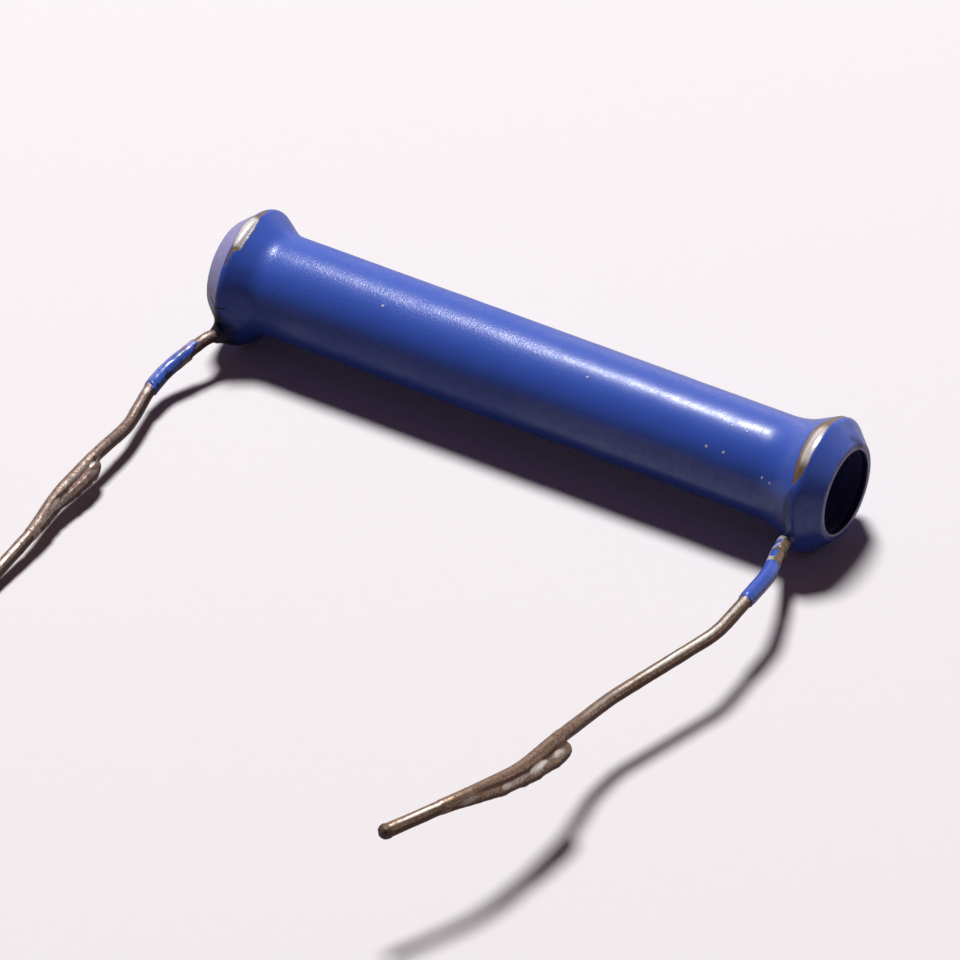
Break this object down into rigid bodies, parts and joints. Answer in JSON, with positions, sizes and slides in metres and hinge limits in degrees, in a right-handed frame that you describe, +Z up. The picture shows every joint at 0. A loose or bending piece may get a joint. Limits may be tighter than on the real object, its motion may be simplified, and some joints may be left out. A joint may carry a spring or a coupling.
{
  "type": "tubular ceramic capacitor",
  "caption": "Small round tubular ceramic capacitor, lacquered over a hollow ceramic tube with flared ends, with a bent wire lead wound round each end and trailing to one side.",
  "frame": {"origin": "middle of the tube, on the axis of its bore", "axes": "+X along the bore towards the end with the long flare, +Z up, the leads run towards -Y; the part lies on the plane z = -2.84 mm"},
  "size_m": [0.0291, 0.0313, 0.0056],
  "materials": {
    "ceramic": "matt fired ceramic",
    "silver_film": "matt fired silver film",
    "tinned_wire": "dull oxidised tinned copper wire",
    "solder": "lumpy aged solder",
    "lacquer": "semi-gloss blue dip lacquer"
  },
  "bodies": {
    "root": {"ceramic_tube": "ceramic", "inner_electrode": "silver_film", "outer_electrode": "silver_film", "left_lead": "tinned_wire", "right_lead": "tinned_wire", "left_solder_joint": "solder", "right_solder_joint": "solder", "lacquer_coat": "lacquer", "left_lead_lacquer": "lacquer", "right_lead_lacquer": "lacquer", "left_lead_solder": "solder", "right_lead_solder": "solder", "right_tip_solder": "solder"}
  },
  "joints": []
}
